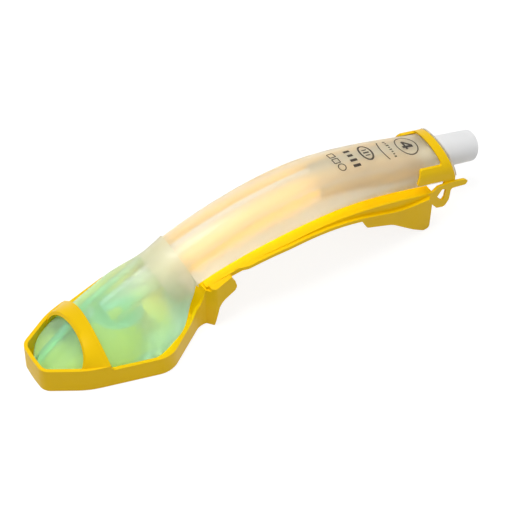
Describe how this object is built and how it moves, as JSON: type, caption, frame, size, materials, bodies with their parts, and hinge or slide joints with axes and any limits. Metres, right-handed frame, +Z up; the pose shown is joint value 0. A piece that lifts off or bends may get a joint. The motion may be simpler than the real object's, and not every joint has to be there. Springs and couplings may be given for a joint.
{
  "type": "supraglottic airway",
  "caption": "Curved clear airway with a soft green laryngeal cuff and a conical connector, held in a yellow moulded protective cradle with a tray, strap, rail and collar.",
  "frame": {"origin": "bottom centre of the bounding box, on the surface that the cradle stands on", "axes": "+X along the airway from the cuff's tip to the connector, +Z up, away from the surface that the cradle stands on, +Y across to the side of the gastric channel"},
  "size_m": [0.2375, 0.057, 0.0555],
  "materials": {
    "cradle_plastic": "semi-gloss moulded polypropylene, opaque yellow",
    "stem_elastomer": "clear soft elastomer with a smooth, slightly hazy surface",
    "cuff_gel": "translucent green soft gel elastomer, smooth",
    "connector_plastic": "milky translucent hard plastic, satin"
  },
  "bodies": {
    "root": {"cradle": "cradle_plastic", "airway_stem": "stem_elastomer", "cuff": "cuff_gel", "connector": "connector_plastic"}
  },
  "joints": []
}
